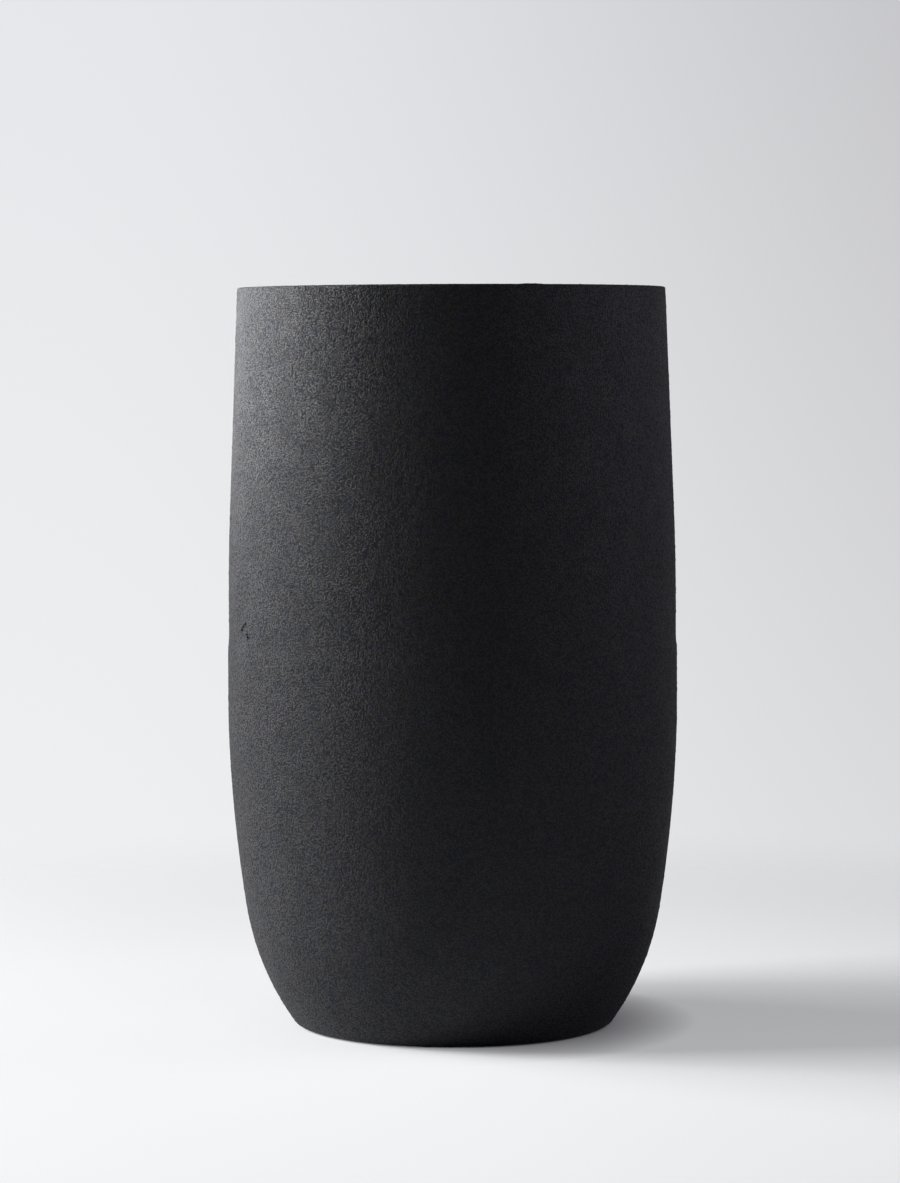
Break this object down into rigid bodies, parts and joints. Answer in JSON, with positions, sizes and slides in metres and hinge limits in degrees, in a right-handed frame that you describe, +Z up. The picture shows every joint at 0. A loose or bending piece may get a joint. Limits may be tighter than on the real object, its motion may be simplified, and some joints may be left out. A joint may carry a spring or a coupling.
{
  "type": "floor planter",
  "caption": "Tall round floor planter with a tapered upper shell, a rounded foot and a lift-out liner on an inner shelf.",
  "frame": {"origin": "on the floor, under the middle of the planter, level with the foot pads' undersides", "axes": "+Z up along the planter's axis; +X towards the liner's right handle; the picture looks along +Y"},
  "size_m": [0.3664, 0.3662, 0.6],
  "materials": {
    "coated_iron": "matt near-black coat with a sandy grain",
    "inner_iron": "matt dark primer",
    "galvanised_sheet": "dull galvanised sheet with a faint spangle",
    "zinc_wire": "zinc-plated wire and plate",
    "black_rubber": "matt moulded rubber"
  },
  "bodies": {
    "planter": {"upper_shell": "coated_iron", "rim_ring": "coated_iron", "lower_bowl": "coated_iron", "seam_ring": "inner_iron", "shelf_bracket_1": "inner_iron", "shelf_bracket_2": "inner_iron", "shelf_bracket_3": "inner_iron", "shelf_bracket_4": "inner_iron", "drain_bush": "inner_iron", "foot_pad_1": "black_rubber", "foot_pad_2": "black_rubber", "foot_pad_3": "black_rubber", "foot_pad_4": "black_rubber"},
    "plug": {"drain_plug": "black_rubber"},
    "shelf": {"liner_shelf": "galvanised_sheet"},
    "liner": {"liner_wall": "galvanised_sheet", "liner_base": "galvanised_sheet", "liner_rim_wire": "zinc_wire", "handle_ear_left": "zinc_wire", "handle_ear_right": "zinc_wire", "ear_rivets": "zinc_wire"},
    "handle_left": {"liner_handle_left": "zinc_wire"},
    "handle_right": {"liner_handle_right": "zinc_wire"}
  },
  "joints": [
    {"name": "plug_pull", "type": "slide", "parent": "planter", "child": "plug", "axis": [0, 0, 1], "range_m": [0, 0.03]},
    {"name": "shelf_lift", "type": "slide", "parent": "planter", "child": "shelf", "axis": [0, 0, 1], "range_m": [0, 0.29]},
    {"name": "liner_lift", "type": "slide", "parent": "shelf", "child": "liner", "axis": [0, 0, 1], "range_m": [0, 0.29]},
    {"name": "handle_left_swing", "type": "hinge", "parent": "liner", "child": "handle_left", "pos_m": [-0.13387, 0, 0.553], "axis": [0, -1, 0], "range_deg": [0, 180]},
    {"name": "handle_right_swing", "type": "hinge", "parent": "liner", "child": "handle_right", "pos_m": [0.13387, 0, 0.553], "axis": [0, 1, 0], "range_deg": [0, 180]}
  ]
}
